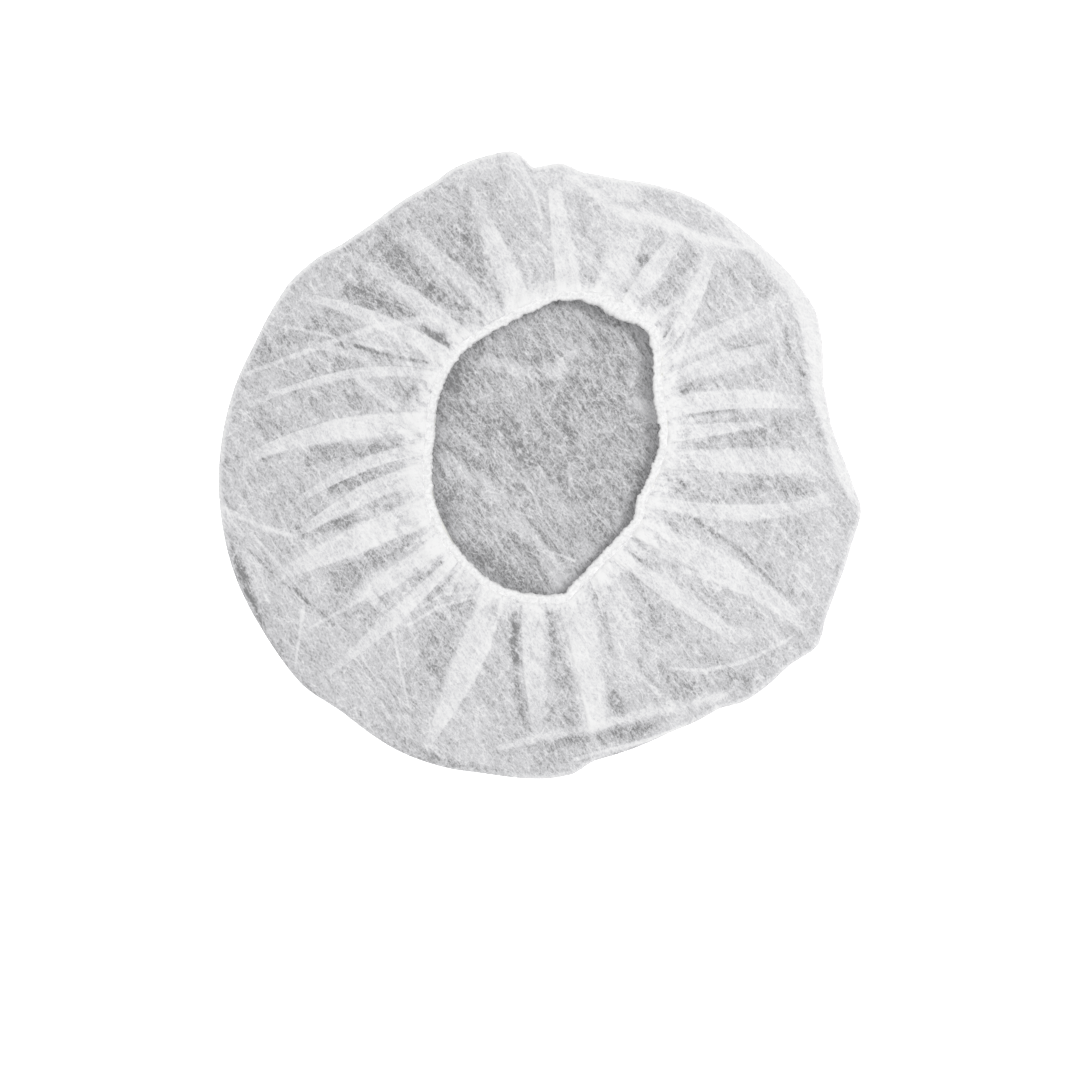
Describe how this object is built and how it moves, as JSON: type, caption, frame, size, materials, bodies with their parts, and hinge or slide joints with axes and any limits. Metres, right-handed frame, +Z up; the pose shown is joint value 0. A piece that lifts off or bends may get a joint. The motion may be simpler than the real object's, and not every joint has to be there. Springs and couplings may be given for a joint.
{
  "type": "disposable bouffant hair cover cap",
  "caption": "Disposable elasticated bouffant hair cover of thin white nonwoven cloth, lying crown down with its gathered hem open upwards.",
  "frame": {"origin": "middle of the cap's outline, on the surface that the crown lies on", "axes": "+Z up out of the opening, +X towards the side where the hem stands highest, +Y along the opening's longer way towards the notched side of the rim"},
  "size_m": [0.348, 0.3408, 0.0269],
  "materials": {
    "nonwoven_cloth": "thin spunbond polypropylene, matt and slightly translucent, with streaky fibres",
    "gathered_hem": "the same cloth in several layers, shirred over the elastic",
    "elastic": "white covered elastic thread, matt"
  },
  "bodies": {
    "root": {"cap_body": "nonwoven_cloth", "hem_casing": "gathered_hem", "elastic_band": "elastic"}
  },
  "joints": []
}
